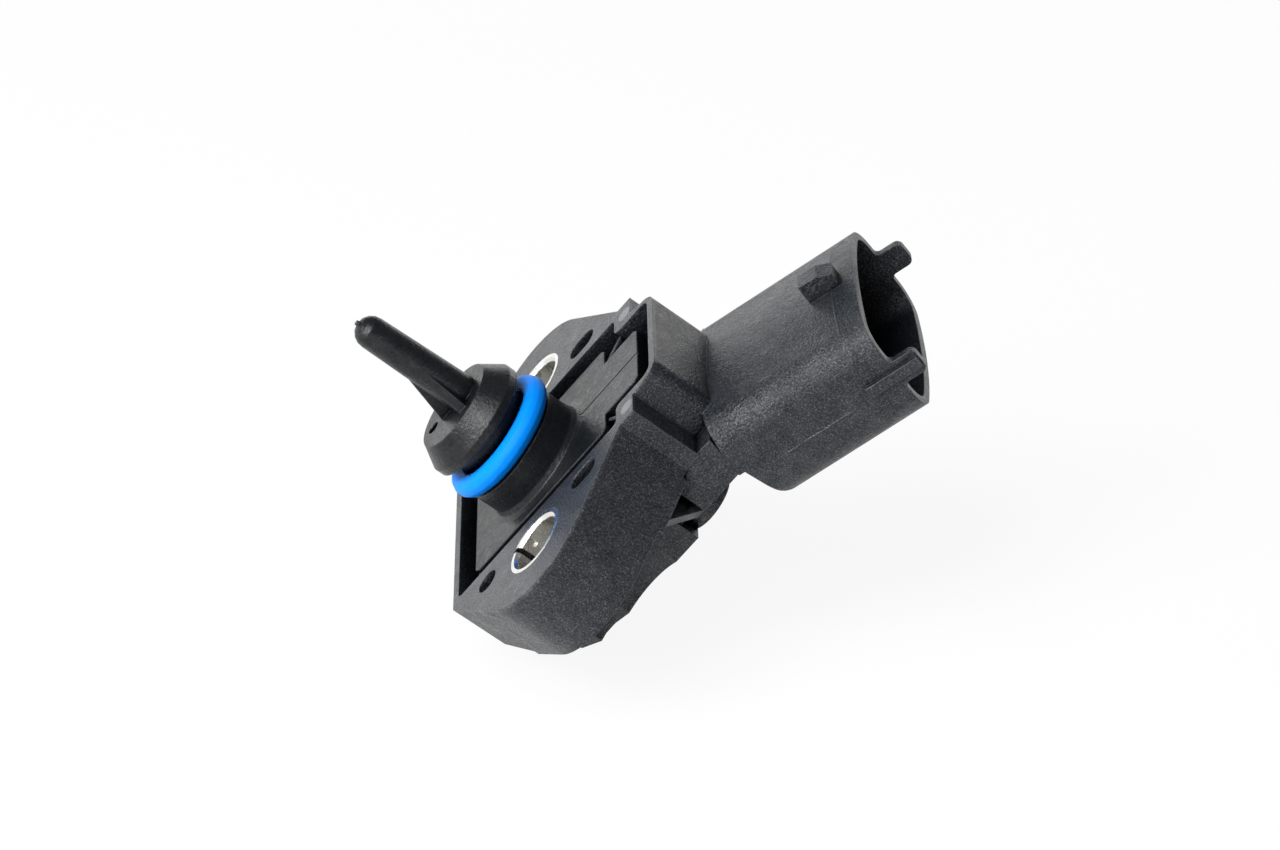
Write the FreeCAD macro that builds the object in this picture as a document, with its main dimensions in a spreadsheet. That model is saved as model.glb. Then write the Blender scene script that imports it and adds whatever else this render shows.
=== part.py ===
import FreeCAD, Part
import math
import os

import Sketcher

os.makedirs("parts", exist_ok=True)
doc = FreeCAD.newDocument("fuel_pressure_sensor")
sheet = doc.addObject("Spreadsheet::Sheet", "Sizes")

# The origin is on the port axis in the plane of the flange's port side.
# Z points away from the port, Y towards the connector, X from bolt to bolt.
# All sizes are millimetres and degrees; a text that starts with = is worked out by the sheet.
sizes = {
    # Bolts and compression limiters
    "bolt_spacing": 35.0,
    "bolt_x": "=bolt_spacing / 2",
    "bushing_outer": 4.2,
    "bushing_bore": 3.35,
    "bushing_chamfer": 0.35,
    "bushing_turn": -56.0,
    "slit_half": 0.33,
    "dimple_turn": 26.0,
    "dimple_half": 0.3,
    "dimple_start": 0.45,
    "dimple_length": 1.1,
    "dimple_depth": 0.45,
    "dimple_reach": "=bushing_bore + dimple_depth",
    "bushing_inner_edge": "=bushing_bore + bushing_chamfer",
    # Flange outline
    "flange_height": 9.3,
    "ear_radius": 8.9,
    "tail_angle": 52.0,
    "tail_y": 14.8,
    "ear_tail_x": "=bolt_x + ear_radius * cos(tail_angle)",
    "ear_tail_y": "=ear_radius * sin(tail_angle)",
    "tail_corner_x": "=ear_tail_x - (tail_y - ear_tail_y) * tan(tail_angle)",
    "shoulder_angle": 51.0,
    "ear_shoulder_x": "=bolt_x + ear_radius * cos(shoulder_angle)",
    "ear_shoulder_y": "=ear_radius * sin(shoulder_angle)",
    "neck_half": 12.9,
    "shoulder_y": "=ear_shoulder_y + (ear_shoulder_x - neck_half) / tan(shoulder_angle)",
    "step_y": 17.4,
    "end_root_half": 9.4,
    "end_half": 8.8,
    "end_y": 21.3,
    "end_corner": 2.0,
    "end_corner_x": "=end_half - end_corner",
    "end_corner_y": "=end_y - end_corner",
    "tail_edge_z": 7.25,
    "tail_slope_y": 10.0,
    "tail_clear_y": "=tail_y + 1",
    "tail_clear_z": "=tail_edge_z - (flange_height - tail_edge_z) / (tail_y - tail_slope_y)",
    # Blind holes in the port side
    "blind_depth": 5.0,
    "tail_hole_x": 15.0,
    "tail_hole_y": 8.5,
    "tail_hole_radius": 1.5,
    "slot_x": 14.65,
    "slot_y": 8.6,
    "slot_radius": 1.43,
    "slot_straight": 0.69,
    "slot_right": "=slot_x + slot_radius",
    "slot_left": "=slot_x - slot_radius",
    "slot_low": "=slot_y - slot_straight",
    "slot_high": "=slot_y + slot_straight",
    "slot_bottom": "=slot_low - slot_radius",
    "slot_top": "=slot_high + slot_radius",
    # Pocket for the insert
    "pocket_depth": 4.0,
    "pocket_half": 11.75,
    "pocket_tail_y": 13.86,
    "pocket_step_y": 14.5,
    "pocket_end_half": 8.2,
    "pocket_end_y": 20.37,
    "pocket_corner": 0.8,
    "pocket_inner_x": "=pocket_half - pocket_corner",
    "pocket_tail_corner_y": "=pocket_tail_y - pocket_corner",
    "pocket_low_step_y": "=pocket_step_y - pocket_corner",
    "pocket_high_step_y": "=pocket_step_y + pocket_corner",
    "pocket_step_x": "=pocket_end_half + pocket_corner",
    "pocket_end_round": 1.4,
    "pocket_end_x": "=pocket_end_half - pocket_end_round",
    "pocket_end_corner_y": "=pocket_end_y - pocket_end_round",
    "rib_top": 0.9,
    "rib_depth": "=pocket_depth - rib_top",
    "step_rib_near_x": 6.3,
    "step_rib_near_edge": 7.0,
    "step_rib_near_y": 12.1,
    "step_rib_far_x": 8.9,
    "step_rib_far_edge": 9.6,
    "step_rib_far_y": 14.7,
    "tail_rib_near_x": 8.9,
    "tail_rib_low_y": 11.3,
    "tail_rib_far_x": 11.9,
    "tail_rib_far_y": 10.4,
    "tail_rib_wall_y": 9.8,
    "tail_rib_edge_x": 9.2,
    "tail_rib_near_y": 10.7,
    # Electronics chamber
    "chamber_top": 16.6,
    "chamber_base": 6.0,
    "chamber_height": "=chamber_top - chamber_base",
    "chamber_gap": 6.8,
    "chamber_half": "=bolt_x - chamber_gap",
    "chamber_end_y": 8.15,
    "head_clearance": 8.0,
    "scallop_y": "=sqrt(head_clearance ^ 2 - (bolt_x - chamber_half) ^ 2)",
    "notch_half": "=chamber_half - 1",
    "notch_near_y": 6.7,
    "notch_far_y": 8.3,
    "lobe_half": "=chamber_half - 0.4",
    "lobe_y": 9.2,
    "chamber_tail_half": 7.3,
    "chamber_tail_y": 12.8,
    "corner_boss_x": 6.0,
    "corner_boss_y": 10.4,
    "corner_boss_radius": 3.5,
    "floor_z": 5.6,
    "cavity_depth": "=chamber_top - floor_z",
    "cavity_half": 8.0,
    "cavity_tail": 11.2,
    "cavity_end": 6.2,
    "cavity_corner": 2.2,
    "ledge": 0.7,
    "cut_growth": "=2 - sqrt(2)",
    "cover_clearance": 0.15,
    "cover_thickness": 1.1,
    "seal_thickness": 0.2,
    "recess_depth": 1.4,
    "recess_z": "=chamber_top - recess_depth",
    "cover_z": "=recess_z + seal_thickness",
    "post_height": "=board_bottom - floor_z",
    "post_inner_x": 6.4,
    "post_outer_x": 8.2,
    "post_front_y": 4.6,
    "post_front_wall_y": 6.4,
    "post_tail_y": 8.0,
    "post_tail_wall_y": 9.6,
    "floor_hole_half": "=boss_half + boss_clearance",
    "floor_hole_tail": "=boss_tail + boss_clearance",
    "floor_hole_front": "=boss_front + boss_clearance",
    # Neck and gusset ribs
    "neck_overlap": 0.3,
    "neck_base": "=flange_height - neck_overlap",
    "neck_top": 14.2,
    "neck_start_y": 12.2,
    "neck_width": "=2 * (shroud_half - back_edge)",
    "neck_root_width": 20.6,
    "gusset_y": 10.6,
    "gusset_thickness": 1.2,
    "gusset_front_y": "=gusset_y + gusset_thickness / 2",
    "gusset_back_y": "=gusset_y - gusset_thickness / 2",
    "gusset_foot": "=neck_half + (shoulder_y - gusset_front_y) * tan(shoulder_angle)",
    "gusset_head": 10.3,
    "gusset_head_z": 15.1,
    "gusset_root": 9.2,
    # Raised pads from the gusset ribs to the shoulders
    "pad_rise": 0.6,
    "pad_height": "=neck_overlap + pad_rise",
    "pad_top": "=flange_height + pad_rise",
    "pad_edge_y": 14.4,
    "pad_edge_x": "=neck_half + (shoulder_y - pad_edge_y) * tan(shoulder_angle)",
    "pad_foot_x": "=neck_half + (shoulder_y - gusset_back_y) * tan(shoulder_angle)",
    "pad_inner_x": "=neck_half - 1",
    # Connector shroud; across the rim, the axis leans towards the cover
    "connector_tilt": 15.53,
    "rim_y": 38.5,
    "rim_z": 19.82,
    "shroud_length": 21.2,
    "shroud_half": 12.9,
    "shroud_height": 7.2,
    "crown_radius": 65.0,
    "shroud_corner": 3.8,
    "shroud_wall": 1.0,
    "socket_depth": 17.0,
    "socket_ahead": 5.0,
    "socket_half": "=shroud_half - shroud_wall",
    "socket_height": "=shroud_height - shroud_wall",
    "socket_crown": "=crown_radius - shroud_wall",
    "socket_corner": "=shroud_corner - shroud_wall",
    "corner_side": "=shroud_half - shroud_corner",
    "crown_centre": "=crown_radius - shroud_height",
    "corner_reach": "=crown_radius - shroud_corner",
    "corner_rise": "=sqrt(corner_reach ^ 2 - corner_side ^ 2)",
    "side_end": "=corner_rise - crown_centre",
    "shroud_crown_x": "=corner_side * crown_radius / corner_reach",
    "shroud_crown_y": "=corner_rise * crown_radius / corner_reach - crown_centre",
    "socket_crown_x": "=corner_side * socket_crown / corner_reach",
    "socket_crown_y": "=corner_rise * socket_crown / corner_reach - crown_centre",
    "shroud_back_y": "=rim_y - shroud_length / cos(connector_tilt)",
    "back_edge": 0.15,
    "shroud_body": "=shroud_length - back_edge",
    "back_edge_y": "=rim_y - shroud_body * cos(connector_tilt)",
    "back_edge_z": "=rim_z - shroud_body * sin(connector_tilt)",
    "back_lean": 19.0,
    "back_lean_start": 20.4,
    "back_clear": "=shroud_length + 0.2",
    "back_clear_rise": "=shroud_height + 1",
    "back_foot": "=(neck_top - rim_z + back_clear * sin(connector_tilt)) / cos(connector_tilt) + 0.05",
    "back_round": 4.5,
    "back_round_rise": "=shroud_height - back_round * (1 - sin(back_lean))",
    "back_round_start": "=back_lean_start - (back_round_rise - back_foot) * tan(back_lean)",
    "back_round_end": "=back_round_start - back_round * cos(back_lean)",
    "neck_end_high_y": "=shroud_back_y + (rim_z - neck_top) * tan(connector_tilt)",
    "neck_end_low_y": "=shroud_back_y + (rim_z - neck_base) * tan(connector_tilt)",
    # Tabs and latch wedge, along the shroud from its rim and across it
    "tab_reach": 3.1,
    "tab_half": 1.5,
    "tab_root": 0.6,
    "tab_corner": 0.8,
    "tab_side": "=tab_half + tab_root",
    "tab_front": "=tab_reach - tab_corner",
    "tab_tip": "=tab_half - tab_corner",
    "tab_start": 1.0,
    "tab_width": "=2 * shroud_half",
    "rail_start": 3.85,
    "rail_end": 2.9,
    "rail_half": 0.65,
    "rail_proud": 0.47,
    "rail_width": "=2 * (shroud_half + rail_proud)",
    "latch_width": 2.7,
    "latch_back": 5.8,
    "latch_front": 1.8,
    "latch_flat_end": 3.4,
    "latch_top": 9.65,
    "latch_nose": 8.9,
    "latch_root": 6.8,
    # Port insert
    "plate_face": 0.5,
    "plate_thickness": 3.3,
    "plate_back": "=plate_face + plate_thickness",
    "plate_half": 9.1,
    "plate_tail": 11.4,
    "plate_step": 12.0,
    "plate_end_half": 5.65,
    "plate_end": 17.8,
    "plate_corner": 0.6,
    "plate_inner_x": "=plate_half - plate_corner",
    "plate_tail_corner": "=plate_tail - plate_corner",
    "plate_step_corner": "=plate_step - plate_corner",
    "plate_end_inner": "=plate_end_half - plate_corner",
    "plate_end_corner": "=plate_end - plate_corner",
    "boss_half": 6.2,
    "boss_tail": 7.0,
    "boss_front": 5.0,
    "boss_clearance": 0.2,
    "plate_boss_top": 6.6,
    "plate_boss_height": "=plate_boss_top - plate_back",
    "insert_length": "=plate_boss_top + nose_end",
    "seam_start": 7.6,
    "seam_width": 0.25,
    "seam_depth": 0.2,
    "seam_bottom": "=plate_face + seam_depth",
    "collar_radius": 7.1,
    "collar_fillet": 0.9,
    "collar_root": "=collar_radius + collar_fillet",
    "collar_fillet_z": "=collar_fillet - plate_face",
    "fillet_middle_x": "=collar_radius + collar_fillet * (1 - cos(45))",
    "fillet_middle_z": "=collar_fillet * (1 - sin(45)) - plate_face",
    "collar_end": 3.8,
    "edge_break": 0.25,
    "collar_break_x": "=collar_radius - edge_break",
    "collar_break_z": "=collar_end - edge_break",
    "groove_radius": 5.3,
    "groove_end": 8.0,
    "nose_radius": 7.05,
    "nose_end": 11.5,
    "nose_shoulder_z": 9.0,
    "nose_lean": 32.0,
    "nose_flat": "=nose_radius - (nose_end - nose_shoulder_z) * tan(nose_lean)",
    "pressure_hole_y": 3.65,
    "pressure_hole": 0.825,
    # Probe finger
    "finger_y": 1.8,
    "finger_tip": 1.9,
    "finger_root": 2.15,
    "finger_ball_z": 24.2,
    "finger_start": 11.0,
    "nib_radius": 0.3,
    "nib_z": "=finger_ball_z + sqrt(finger_tip ^ 2 - nib_radius ^ 2)",
    "nib_end": "=nib_z + 0.25",
    "ball_far_x": "=finger_tip * cos(60)",
    "ball_far_z": "=finger_ball_z + finger_tip * sin(60)",
    "ball_middle_x": "=finger_tip * cos(40)",
    "ball_middle_z": "=finger_ball_z + finger_tip * sin(40)",
    "ball_near_x": "=finger_tip * cos(20)",
    "ball_near_z": "=finger_ball_z + finger_tip * sin(20)",
    "finger_bore": 1.15,
    "finger_bore_end": 23.9,
    "finger_bore_length": "=finger_bore_end + plate_boss_top",
    "side_fin_thickness": 1.1,
    "side_fin_root": 3.5,
    "side_fin_tip": 1.7,
    "side_fin_end": 18.1,
    "back_fin_thickness": 1.2,
    "back_fin_root": 2.0,
    "back_fin_tip": 0.1,
    "back_fin_end": 17.7,
    # Sealing ring
    "ring_section": 1.28,
    "ring_radius": "=groove_radius + ring_section",
    "ring_z": "=collar_end + ring_section",
    "ring_corner": "=ring_section / cos(15)",
    # Bead of glue under the plate
    "bead_edge": 0.4,
    "bead_half": "=plate_half - bead_edge",
    "bead_tail": "=plate_tail - bead_edge",
    "bead_step": "=plate_step - bead_edge",
    "bead_end_half": "=plate_end_half - bead_edge",
    "bead_end": "=plate_end - bead_edge",
    "bead_hole_half": "=floor_hole_half + bead_edge",
    "bead_hole_tail": "=floor_hole_tail + bead_edge",
    "bead_hole_front": "=floor_hole_front + bead_edge",
    "bead_thickness": "=pocket_depth - plate_back",
    # Temperature element
    "thermistor_radius": 0.95,
    "lead_radius": 0.15,
    "lead_x": 0.45,
    "lead_hole": 0.3,
    "lead_above_board": 0.6,
    "thermistor_length": 2.4,
    "thermistor_z": "=finger_bore_end - thermistor_length",
    "lead_length": "=thermistor_z + board_top + lead_above_board",
    # Pressure cell
    "cell_side": 5.2,
    "cell_thickness": 0.6,
    "cell_channel_radius": 0.5,
    "cell_top": "=plate_boss_top + cell_thickness",
    "cell_ring_outer": 2.3,
    "cell_ring_inner": 1.9,
    "cell_ring_height": 2.0,
    "die_side": 1.6,
    "pedestal_height": 0.7,
    "pedestal_channel": 0.3,
    "die_height": 0.4,
    "die_z": "=cell_top + pedestal_height",
    "gel_height": 1.5,
    # Circuit board
    "board_top": 11.2,
    "board_thickness": 1.0,
    "board_bottom": "=board_top - board_thickness",
    "board_half": 7.8,
    "board_tail": 9.0,
    "board_front": 5.9,
    "signal_chip_side": 4.0,
    "signal_chip_height": 1.0,
    "signal_chip_y": 3.4,
    "capacitor_length": 1.6,
    "capacitor_width": 0.8,
    "capacitor_height": 0.8,
    "capacitor_x": 4.2,
    "capacitor_y": 6.2,
    "capacitor_middle_y": 7.4,
    # Terminals
    "terminal_pitch": 4.0,
    "terminal_inner_x": "=terminal_pitch / 2",
    "terminal_outer_x": "=terminal_pitch * 1.5",
    "terminal_width": 1.6,
    "terminal_thickness": 0.64,
    "terminal_foot_y": 3.4,
    "terminal_rise": 62.0,
    "terminal_knee": 18.3,
    "blade_end": 5.5,
    "blade_taper": 0.6,
    "blade_low": "=terminal_thickness / 2",
    "knee_y": "=rim_y - terminal_knee * cos(connector_tilt) + blade_low * sin(connector_tilt)",
    "knee_z": "=rim_z - terminal_knee * sin(connector_tilt) - blade_low * cos(connector_tilt)",
    "bend_y": "=knee_y - (knee_z - board_top) / tan(terminal_rise)",
    "bend_top_y": "=bend_y - terminal_thickness * tan(terminal_rise / 2)",
    "foot_top_z": "=board_top + terminal_thickness",
    "knee_mean": "=(terminal_rise + connector_tilt) / 2",
    "knee_mitre": "=terminal_thickness / cos((terminal_rise - connector_tilt) / 2)",
    "knee_top_y": "=knee_y - knee_mitre * sin(knee_mean)",
    "knee_top_z": "=knee_z + knee_mitre * cos(knee_mean)",
    "blade_shoulder": "=blade_end + blade_taper",
    "blade_low_y": "=rim_y - blade_shoulder * cos(connector_tilt) + blade_low * sin(connector_tilt)",
    "blade_low_z": "=rim_z - blade_shoulder * sin(connector_tilt) - blade_low * cos(connector_tilt)",
    "blade_high_y": "=blade_low_y - terminal_thickness * sin(connector_tilt)",
    "blade_high_z": "=blade_low_z + terminal_thickness * cos(connector_tilt)",
    "blade_tip_half": 0.15,
    "tip_low_y": "=rim_y - blade_end * cos(connector_tilt) + blade_tip_half * sin(connector_tilt)",
    "tip_low_z": "=rim_z - blade_end * sin(connector_tilt) - blade_tip_half * cos(connector_tilt)",
    "tip_high_y": "=tip_low_y - 2 * blade_tip_half * sin(connector_tilt)",
    "tip_high_z": "=tip_low_z + 2 * blade_tip_half * cos(connector_tilt)",
}

# Corners of the sealing ring's section, whose twelve flats stand for a round cord
ring_corners = []
for turn in range(15, 360, 30):
    corner_x = "ring_x_%d" % turn
    corner_z = "ring_z_%d" % turn
    sizes[corner_x] = "=ring_radius + ring_corner * cos(%d)" % turn
    sizes[corner_z] = "=ring_corner * sin(%d) - ring_z" % turn
    ring_corners.append((corner_x, corner_z))

# Outlines of the recess, the cover and its glue bead, grown from the outline of the cavity
for outline_name, growth in (
    ("recess", "ledge"),
    ("cover", "(ledge - cover_clearance)"),
    ("bead_inner", "cover_clearance"),
):
    sizes[outline_name + "_half"] = "=cavity_half + " + growth
    sizes[outline_name + "_tail"] = "=cavity_tail + " + growth
    sizes[outline_name + "_end"] = "=cavity_end + " + growth
    sizes[outline_name + "_corner"] = "=cavity_corner + cut_growth * " + growth
for outline_name in ("cavity", "recess", "cover", "bead_inner"):
    sizes[outline_name + "_cut_x"] = "=" + outline_name + "_half - " + outline_name + "_corner"
    sizes[outline_name + "_cut_y"] = "=" + outline_name + "_tail - " + outline_name + "_corner"

for row, (size_name, size) in enumerate(sizes.items(), start=1):
    sheet.set("A%d" % row, size_name)
    sheet.set("B%d" % row, str(size))
    sheet.setAlias("B%d" % row, size_name)
doc.recompute()


def number(name):
    """Present value of a named size; a minus in front turns its sign."""
    if name == "0":
        return 0.0
    if name.startswith("-"):
        return -number(name[1:])
    return float(sheet.get(name))


def bound(name):
    """Expression for a named size; a minus in front turns its sign."""
    if name.startswith("-"):
        return "-Sizes." + name[1:]
    return "Sizes." + name


def opposite(name):
    """The named size with its sign turned."""
    if name == "0":
        return name
    if name.startswith("-"):
        return name[1:]
    return "-" + name


def new_body(label):
    """Empty body with the given label."""
    body = doc.addObject("PartDesign::Body", label)
    body.Label = label
    return body


def new_sketch(body, name, role, offset="0"):
    """Sketch on one of the body's origin planes, moved along the plane's normal."""
    sketch = body.newObject("Sketcher::SketchObject", name)
    plane = [feature for feature in body.Origin.OriginFeatures if feature.Role == role][0]
    sketch.AttachmentSupport = [(plane, "")]
    sketch.MapMode = "FlatFace"
    if offset != "0":
        sketch.setExpression("AttachmentOffset.Base.z", bound(offset))
    return sketch


def turn_sketch(sketch, axis, angle):
    """Turn the sketch about an axis of its plane by the named angle."""
    sketch.AttachmentOffset = FreeCAD.Placement(
        sketch.AttachmentOffset.Base, FreeCAD.Rotation(axis, number(angle))
    )
    sketch.setExpression("AttachmentOffset.Rotation.Angle", bound(angle))


def rim_sketch(body, name, middle_y="rim_y", middle_z="rim_z"):
    """Sketch across the connector's axis, at its rim or further back; x is X, y points to the cover."""
    sketch = new_sketch(body, name, "XZ_Plane", "-" + middle_y)
    sketch.setExpression("AttachmentOffset.Base.y", bound(middle_z))
    turn_sketch(sketch, FreeCAD.Vector(1, 0, 0), "connector_tilt")
    return sketch


def profile_sketch(body, name):
    """Sketch in the plane X = 0; x runs along the connector's axis from its rim, y across it."""
    sketch = new_sketch(body, name, "YZ_Plane")
    sketch.setExpression("AttachmentOffset.Base.x", bound("rim_y"))
    sketch.setExpression("AttachmentOffset.Base.y", bound("rim_z"))
    turn_sketch(sketch, FreeCAD.Vector(0, 0, 1), "connector_tilt")
    return sketch


def pin(sketch, geometry, point, x, y):
    """Hold a point of the sketch at the named distances from the sketch's origin."""
    if x == "0":
        sketch.addConstraint(Sketcher.Constraint("PointOnObject", geometry, point, -2))
    else:
        index = sketch.addConstraint(
            Sketcher.Constraint("DistanceX", -1, 1, geometry, point, number(x))
        )
        sketch.setExpression("Constraints[%d]" % index, bound(x))
    if y == "0":
        sketch.addConstraint(Sketcher.Constraint("PointOnObject", geometry, point, -1))
    else:
        index = sketch.addConstraint(
            Sketcher.Constraint("DistanceY", -1, 1, geometry, point, number(y))
        )
        sketch.setExpression("Constraints[%d]" % index, bound(y))


def set_radius(sketch, geometry, radius):
    """Bind the radius of a circle or an arc to a named size."""
    index = sketch.addConstraint(Sketcher.Constraint("Radius", geometry, number(radius)))
    sketch.setExpression("Constraints[%d]" % index, bound(radius))


def draw_circle(sketch, x, y, radius):
    """Circle with its centre and radius bound to named sizes."""
    centre = FreeCAD.Vector(number(x), number(y), 0)
    circle = Part.Circle(centre, FreeCAD.Vector(0, 0, 1), number(radius))
    index = sketch.addGeometry(circle, False)
    pin(sketch, index, 3, x, y)
    set_radius(sketch, index, radius)


def arc_between(start, end, radius):
    """Arc of less than half a turn; a radius below zero turns clockwise."""
    chord = end - start
    middle = (start + end) * 0.5
    left = FreeCAD.Vector(-chord.y, chord.x, 0).normalize()
    reach = math.sqrt(radius ** 2 - (chord.Length / 2) ** 2)
    centre = middle + left * math.copysign(reach, radius)
    first, last = (start, end) if radius > 0 else (end, start)
    first_angle = math.atan2(first.y - centre.y, first.x - centre.x)
    last_angle = math.atan2(last.y - centre.y, last.x - centre.x)
    if last_angle < first_angle:
        last_angle += 2 * math.pi
    circle = Part.Circle(centre, FreeCAD.Vector(0, 0, 1), abs(radius))
    return Part.ArcOfCircle(circle, first_angle, last_angle)


def draw_outline(sketch, corners):
    """Closed run of lines and arcs; a third entry at a corner is the radius of the arc after it."""
    first = sketch.GeometryCount
    count = len(corners)
    spots = [FreeCAD.Vector(number(corner[0]), number(corner[1]), 0) for corner in corners]
    starts = []
    ends = []
    for index, corner in enumerate(corners):
        start = spots[index]
        end = spots[(index + 1) % count]
        clockwise = len(corner) == 3 and corner[2].startswith("-")
        starts.append(2 if clockwise else 1)
        ends.append(1 if clockwise else 2)
        if len(corner) == 3:
            sketch.addGeometry(arc_between(start, end, number(corner[2])), False)
        else:
            sketch.addGeometry(Part.LineSegment(start, end), False)
    for index, corner in enumerate(corners):
        after = (index + 1) % count
        sketch.addConstraint(
            Sketcher.Constraint("Coincident", first + index, ends[index], first + after, starts[after])
        )
        pin(sketch, first + index, starts[index], corner[0], corner[1])
        if len(corner) == 3:
            set_radius(sketch, first + index, corner[2].lstrip("-"))


def mirrored(half):
    """Right half of an outline, counterclockwise, closed by its mirror image."""
    other = []
    for index in range(len(half) - 1, -1, -1):
        arc = tuple(half[index - 1][2:]) if index else ()
        other.append((opposite(half[index][0]), half[index][1]) + arc)
    return list(half) + other


def pad(body, sketch, length, symmetric=False):
    """Add the sketch's outline to the body, thickened by the named length."""
    feature = body.newObject("PartDesign::Pad", sketch.Name + "_pad")
    feature.Profile = sketch
    feature.setExpression("Length", bound(length))
    feature.SideType = "Symmetric" if symmetric else "One side"
    sketch.Visibility = False
    return feature


def cut(body, sketch, length, symmetric=False, along_normal=True):
    """Take the sketch's outline out of the body to the named depth."""
    feature = body.newObject("PartDesign::Pocket", sketch.Name + "_cut")
    feature.Profile = sketch
    feature.setExpression("Length", bound(length))
    feature.SideType = "Symmetric" if symmetric else "One side"
    feature.Reversed = along_normal
    sketch.Visibility = False
    return feature


def revolve(body, sketch):
    """Turn the sketch's outline once round the sketch's vertical axis."""
    feature = body.newObject("PartDesign::Revolution", sketch.Name + "_turn")
    feature.Profile = sketch
    feature.ReferenceAxis = (sketch, ["V_Axis"])
    feature.Angle = 360
    sketch.Visibility = False
    return feature


def rectangle(left, right, low, high):
    """Corners of an upright rectangle."""
    return [(left, low), (right, low), (right, high), (left, high)]


def tray(name):
    """Half outline of the chamber's cavity or of what is grown from it."""
    return [
        (name + "_cut_x", "-" + name + "_tail"),
        (name + "_half", "-" + name + "_cut_y"),
        (name + "_half", name + "_end"),
    ]


def section(half, height, side_end, crown_x, crown_y, corner, crown):
    """Outline across the shroud or the socket: flat sides, round corners, crowned faces."""
    return [
        (half, "-" + side_end),
        (half, side_end, corner),
        (crown_x, crown_y, crown),
        ("-" + crown_x, crown_y, corner),
        ("-" + half, side_end),
        ("-" + half, "-" + side_end, corner),
        ("-" + crown_x, "-" + crown_y, crown),
        (crown_x, "-" + crown_y, corner),
    ]


# Terminals: a foot on the board, a run through the neck and a blade in the socket
terminals = []
for terminal_name, terminal_x in (
    ("terminal_1", "-terminal_outer_x"),
    ("terminal_2", "-terminal_inner_x"),
    ("terminal_3", "terminal_inner_x"),
    ("terminal_4", "terminal_outer_x"),
):
    terminal = new_body(terminal_name)
    strip = new_sketch(terminal, terminal_name + "_strip", "YZ_Plane", terminal_x)
    draw_outline(strip, [
        ("terminal_foot_y", "board_top"),
        ("bend_y", "board_top"),
        ("knee_y", "knee_z"),
        ("blade_low_y", "blade_low_z"),
        ("tip_low_y", "tip_low_z"),
        ("tip_high_y", "tip_high_z"),
        ("blade_high_y", "blade_high_z"),
        ("knee_top_y", "knee_top_z"),
        ("bend_top_y", "foot_top_z"),
        ("terminal_foot_y", "foot_top_z"),
    ])
    pad(terminal, strip, "terminal_width", symmetric=True)
    terminals.append(terminal)

# Housing: flange, pocket, chamber, gussets, neck and connector in one moulding
moulding = new_body("housing_moulding")

flange = new_sketch(moulding, "flange", "XY_Plane")
draw_outline(flange, mirrored([
    ("tail_corner_x", "-tail_y"),
    ("ear_tail_x", "-ear_tail_y", "ear_radius"),
    ("ear_shoulder_x", "ear_shoulder_y"),
    ("neck_half", "shoulder_y"),
    ("neck_half", "step_y"),
    ("end_root_half", "step_y"),
    ("end_half", "end_corner_y", "end_corner"),
    ("end_corner_x", "end_y"),
]))
pad(moulding, flange, "flange_height")

tail_slope = new_sketch(moulding, "tail_slope", "YZ_Plane")
draw_outline(tail_slope, [
    ("-tail_clear_y", "tail_clear_z"),
    ("-tail_slope_y", "flange_height"),
    ("-tail_clear_y", "flange_height"),
])
cut(moulding, tail_slope, "bolt_spacing", symmetric=True)

pocket = new_sketch(moulding, "pocket", "XY_Plane")
draw_outline(pocket, mirrored([
    ("pocket_inner_x", "-pocket_tail_y", "pocket_corner"),
    ("pocket_half", "-pocket_tail_corner_y"),
    ("pocket_half", "pocket_low_step_y", "pocket_corner"),
    ("pocket_inner_x", "pocket_step_y"),
    ("pocket_step_x", "pocket_step_y", "-pocket_corner"),
    ("pocket_end_half", "pocket_high_step_y"),
    ("pocket_end_half", "pocket_end_corner_y", "pocket_end_round"),
    ("pocket_end_x", "pocket_end_y"),
]))
cut(moulding, pocket, "pocket_depth")

ribs = new_sketch(moulding, "ribs", "XY_Plane", "rib_top")
step_rib = [
    ("step_rib_near_x", "step_rib_near_y"),
    ("step_rib_near_edge", "step_rib_near_y"),
    ("step_rib_far_edge", "step_rib_far_y"),
    ("step_rib_far_x", "step_rib_far_y"),
]
tail_rib = [
    ("tail_rib_near_x", "-tail_rib_low_y"),
    ("tail_rib_far_x", "-tail_rib_far_y"),
    ("tail_rib_far_x", "-tail_rib_wall_y"),
    ("tail_rib_edge_x", "-tail_rib_near_y"),
]
for rib in (step_rib, tail_rib):
    draw_outline(ribs, rib)
    draw_outline(ribs, [(opposite(x), y) for x, y in rib[::-1]])
pad(moulding, ribs, "rib_depth")

chamber = new_sketch(moulding, "chamber", "XY_Plane", "chamber_base")
draw_outline(chamber, mirrored([
    ("chamber_tail_half", "-chamber_tail_y"),
    ("lobe_half", "-lobe_y"),
    ("notch_half", "-notch_far_y"),
    ("notch_half", "-notch_near_y"),
    ("chamber_half", "-scallop_y", "-head_clearance"),
    ("chamber_half", "scallop_y"),
    ("chamber_half", "chamber_end_y"),
]))
pad(moulding, chamber, "chamber_height")

corner_bosses = new_sketch(moulding, "corner_bosses", "XY_Plane", "chamber_base")
draw_circle(corner_bosses, "corner_boss_x", "corner_boss_y", "corner_boss_radius")
draw_circle(corner_bosses, "-corner_boss_x", "corner_boss_y", "corner_boss_radius")
pad(moulding, corner_bosses, "chamber_height")

neck = new_sketch(moulding, "neck", "YZ_Plane")
draw_outline(neck, [
    ("neck_start_y", "neck_base"),
    ("neck_end_low_y", "neck_base"),
    ("neck_end_high_y", "neck_top"),
    ("neck_start_y", "neck_top"),
])
pad(moulding, neck, "neck_width", symmetric=True)

neck_root = new_sketch(moulding, "neck_root", "YZ_Plane")
draw_outline(neck_root, rectangle("cavity_end", "neck_start_y", "chamber_base", "neck_top"))
pad(moulding, neck_root, "neck_root_width", symmetric=True)

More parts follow.
